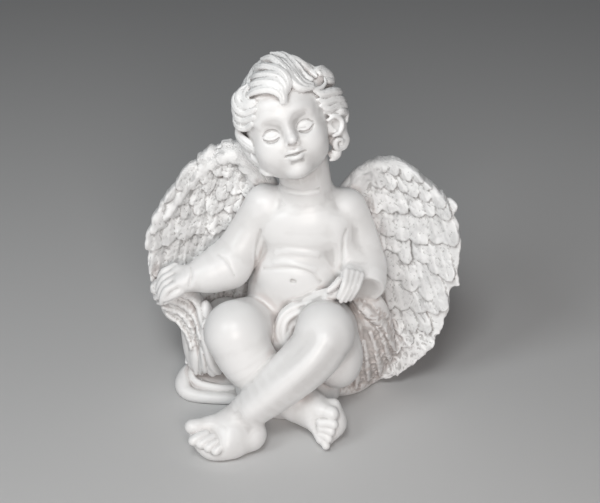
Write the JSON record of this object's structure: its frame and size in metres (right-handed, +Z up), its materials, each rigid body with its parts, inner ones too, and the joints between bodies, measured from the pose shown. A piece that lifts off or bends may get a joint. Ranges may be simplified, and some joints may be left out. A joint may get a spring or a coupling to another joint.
{
  "type": "cherub figurine",
  "caption": "Seated winged child figurine with crossed legs, closed eyes and a cloth over its lap, cast in one white piece to stand on a shelf, table or grave.",
  "frame": {"origin": "middle of the bounding box's base, on the ground", "axes": "+Z up, -Y towards the figure's front, +X towards the figure's left"},
  "size_m": [0.1858, 0.1274, 0.215],
  "materials": {
    "white_casting": "satin"
  },
  "bodies": {
    "root": {"cherub": "white_casting"}
  },
  "joints": []
}
